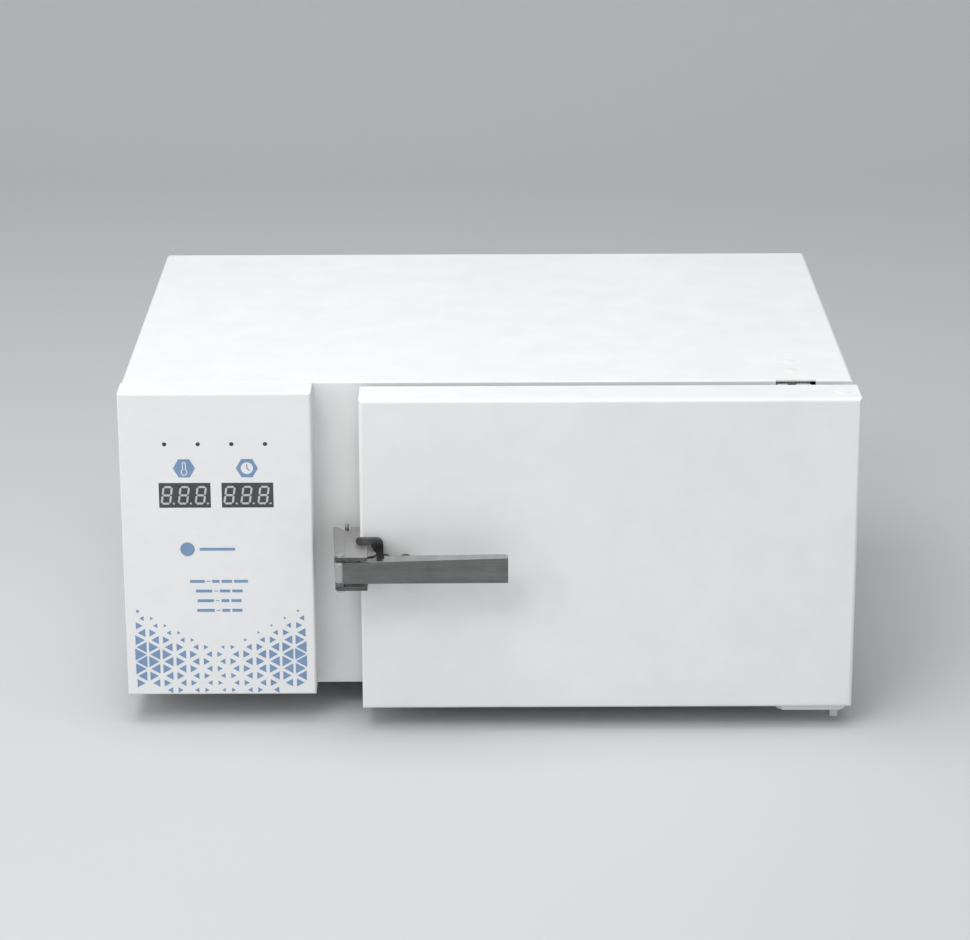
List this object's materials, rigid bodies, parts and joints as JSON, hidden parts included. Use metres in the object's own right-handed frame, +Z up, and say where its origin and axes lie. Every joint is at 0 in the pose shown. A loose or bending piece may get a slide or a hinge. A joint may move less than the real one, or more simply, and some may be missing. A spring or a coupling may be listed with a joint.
{
  "type": "dry heat sterilizer",
  "caption": "Bench-top dry heat sterilizer: insulated chamber with trays behind a side-hung door with a lever latch, and a control panel with displays on the left.",
  "frame": {"origin": "middle of the bounding box, at the height that the feet stand on", "axes": "+X to the right of a person facing the door, +Y to the back, +Z up"},
  "size_m": [0.5376, 0.4561, 0.258],
  "materials": {
    "white_enamel": "smooth",
    "frame_enamel": "smooth",
    "zinc_steel": "bare",
    "stainless": "brushed",
    "lever_steel": "brushed",
    "dark_steel": "satin",
    "chamber_steel": "brushed",
    "tray_aluminium": "satin",
    "mineral_wool": "matt",
    "silicone": "matt",
    "black_rubber": "matt",
    "panel_film": "matt",
    "blue_ink": "matt",
    "display_face": "satin",
    "display_segment": "matt",
    "lamp_lens": "gloss",
    "button_blue": "matt",
    "board_green": "gloss",
    "black_plastic": "matt",
    "iron_core": "varnished",
    "wire_jacket": "matt"
  },
  "bodies": {
    "cabinet": {"outer_cover": "white_enamel", "control_housing": "white_enamel", "back_panel": "white_enamel", "front_frame": "frame_enamel", "base_pan": "frame_enamel", "upper_hinge_bracket": "frame_enamel", "lower_hinge_bracket": "frame_enamel", "hinge_screws": "zinc_steel", "foot_screws": "zinc_steel", "cover_screws": "zinc_steel", "rear_screws": "zinc_steel", "board_standoffs": "zinc_steel", "strike_bracket": "zinc_steel", "strike_pin": "zinc_steel", "thermal_cutout": "zinc_steel", "temperature_sensor": "zinc_steel", "chamber_liner": "chamber_steel", "left_tray_rack": "chamber_steel", "right_tray_rack": "chamber_steel", "lower_heater": "chamber_steel", "upper_heater": "chamber_steel", "lower_tray": "tray_aluminium", "upper_tray": "tray_aluminium", "chamber_insulation": "mineral_wool", "chamber_seal": "silicone", "front_left_foot": "black_rubber", "front_right_foot": "black_rubber", "rear_left_foot": "black_rubber", "rear_right_foot": "black_rubber", "panel_overlay": "panel_film", "panel_print": "blue_ink", "triangle_pattern": "blue_ink", "temperature_display": "display_face", "time_display": "display_face", "display_digits": "display_segment", "status_lamps": "lamp_lens", "control_board": "board_green", "relay_board": "board_green", "power_inlet": "black_plastic", "switch_housing": "black_plastic", "power_relay": "black_plastic", "terminal_block": "black_plastic", "button_switch": "black_plastic", "transformer": "iron_core", "wiring_loom": "wire_jacket"},
    "door": {"door_skin": "white_enamel", "door_inner_pan": "chamber_steel", "door_insulation": "mineral_wool", "door_pan_screws": "zinc_steel", "upper_hinge_pin": "frame_enamel", "lower_hinge_bolt": "zinc_steel", "hinge_washer": "zinc_steel", "hinge_nut_plate": "zinc_steel", "latch_housing": "stainless", "latch_bracket": "dark_steel", "latch_screws": "zinc_steel", "latch_pivot_pin": "zinc_steel"},
    "lever": {"latch_lever": "lever_steel"},
    "button": {"program_button": "button_blue"},
    "rocker": {"power_rocker": "black_plastic"}
  },
  "joints": [
    {"name": "door_hinge", "type": "hinge", "parent": "cabinet", "child": "door", "pos_m": [0.25675, -0.17611, 0.1375], "axis": [0, 0, 1], "range_deg": [0, 105]},
    {"name": "latch_lever_pivot", "type": "hinge", "parent": "door", "child": "lever", "pos_m": [-0.10725, -0.22381, 0.1375], "axis": [0, 0, -1], "range_deg": [0, 85]},
    {"name": "program_button_press", "type": "slide", "parent": "cabinet", "child": "button", "axis": [0, 1, 0], "range_m": [0, 0.001], "stiffness_N_per_m": 600, "springref_m": -0.001},
    {"name": "power_rocker_tilt", "type": "hinge", "parent": "cabinet", "child": "rocker", "pos_m": [-0.15875, 0.22339, 0.082], "axis": [-1, 0, 0], "range_deg": [0, 16]}
  ]
}
